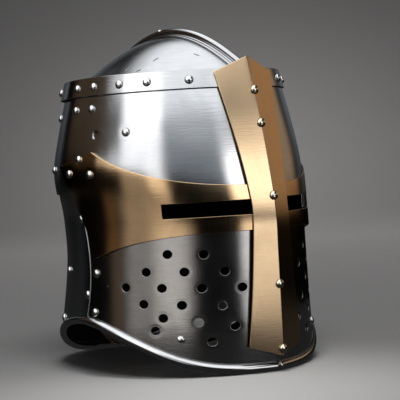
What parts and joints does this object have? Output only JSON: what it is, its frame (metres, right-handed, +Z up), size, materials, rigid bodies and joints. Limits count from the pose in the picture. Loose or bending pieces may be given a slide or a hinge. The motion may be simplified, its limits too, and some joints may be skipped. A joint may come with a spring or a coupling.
{
  "type": "great helm",
  "caption": "Closed great helm of riveted steel plates with a brass cross over the face, eye slots, breath holes, a domed skull with a comb, a leather liner and a buckled chin strap.",
  "frame": {"origin": "on the ground under the middle of the helm's bounding box", "axes": "+Z up, the face looks along -Y, +X is the wearer's left"},
  "size_m": [0.2524, 0.3183, 0.3434],
  "materials": {
    "front_steel": "polished, fine scratches",
    "back_steel": "darker polished steel",
    "brass": "satin brass",
    "rivet_steel": "polished",
    "brass_rivet": "polished",
    "liner_leather": "oiled",
    "strap_leather": "smooth",
    "buckle_brass": "cast, polished"
  },
  "bodies": {
    "helm": {"upper_front_plate": "front_steel", "rim_band": "front_steel", "skull_dome": "front_steel", "crest_comb": "front_steel", "lower_front_plate_right": "front_steel", "lower_front_plate_left": "front_steel", "upper_back_plate": "back_steel", "lower_back_plate": "back_steel", "nasal_bar": "brass", "sight_arm_right": "brass", "sight_arm_left": "brass", "front_roll_right": "rivet_steel", "front_roll_left": "rivet_steel", "back_roll": "rivet_steel", "arm_rivet_top_right": "rivet_steel", "arm_rivet_top_left": "rivet_steel", "arm_rivet_rear_right": "rivet_steel", "arm_rivet_rear_left": "rivet_steel", "arm_rivet_front_right": "rivet_steel", "arm_rivet_front_left": "rivet_steel", "brow_rivet_front_right": "rivet_steel", "brow_rivet_front_left": "rivet_steel", "brow_rivet_rear_right": "rivet_steel", "brow_rivet_rear_left": "rivet_steel", "liner_rivet_right": "rivet_steel", "liner_rivet_left": "rivet_steel", "seam_rivet_top_right": "rivet_steel", "seam_rivet_top_left": "rivet_steel", "seam_rivet_middle_right": "rivet_steel", "seam_rivet_middle_left": "rivet_steel", "seam_rivet_bottom_right": "rivet_steel", "seam_rivet_bottom_left": "rivet_steel", "cheek_rivet_right": "rivet_steel", "cheek_rivet_left": "rivet_steel", "band_rivet_1_right": "rivet_steel", "band_rivet_1_left": "rivet_steel", "band_rivet_2_right": "rivet_steel", "band_rivet_2_left": "rivet_steel", "band_rivet_3_right": "rivet_steel", "band_rivet_3_left": "rivet_steel", "band_rivet_4_right": "rivet_steel", "band_rivet_4_left": "rivet_steel", "strap_rivet_right": "rivet_steel", "strap_rivet_left": "rivet_steel", "nasal_rivet_1": "brass_rivet", "nasal_rivet_2": "brass_rivet", "nasal_rivet_3": "brass_rivet", "nasal_rivet_4": "brass_rivet", "nasal_rivet_5": "brass_rivet", "liner_headband": "liner_leather", "liner_tongue_1": "liner_leather", "liner_tongue_2": "liner_leather", "liner_tongue_3": "liner_leather", "liner_tongue_4": "liner_leather", "liner_tongue_5": "liner_leather", "liner_tongue_6": "liner_leather"},
    "chin_strap": {"chin_strap_right": "strap_leather", "chin_strap_left": "strap_leather", "buckle_frame": "buckle_brass"},
    "buckle_prong": {"buckle_prong": "buckle_brass"}
  },
  "joints": [
    {"name": "chin_strap_swing", "type": "hinge", "parent": "helm", "child": "chin_strap", "pos_m": [0, -0.00182, 0.079], "axis": [1, 0, 0], "range_deg": [-35, 35]},
    {"name": "buckle_prong_lift", "type": "hinge", "parent": "chin_strap", "child": "buckle_prong", "pos_m": [-0.08435, -0.00182, 0.03387], "axis": [0, 1, 0], "range_deg": [0, 95]}
  ]
}
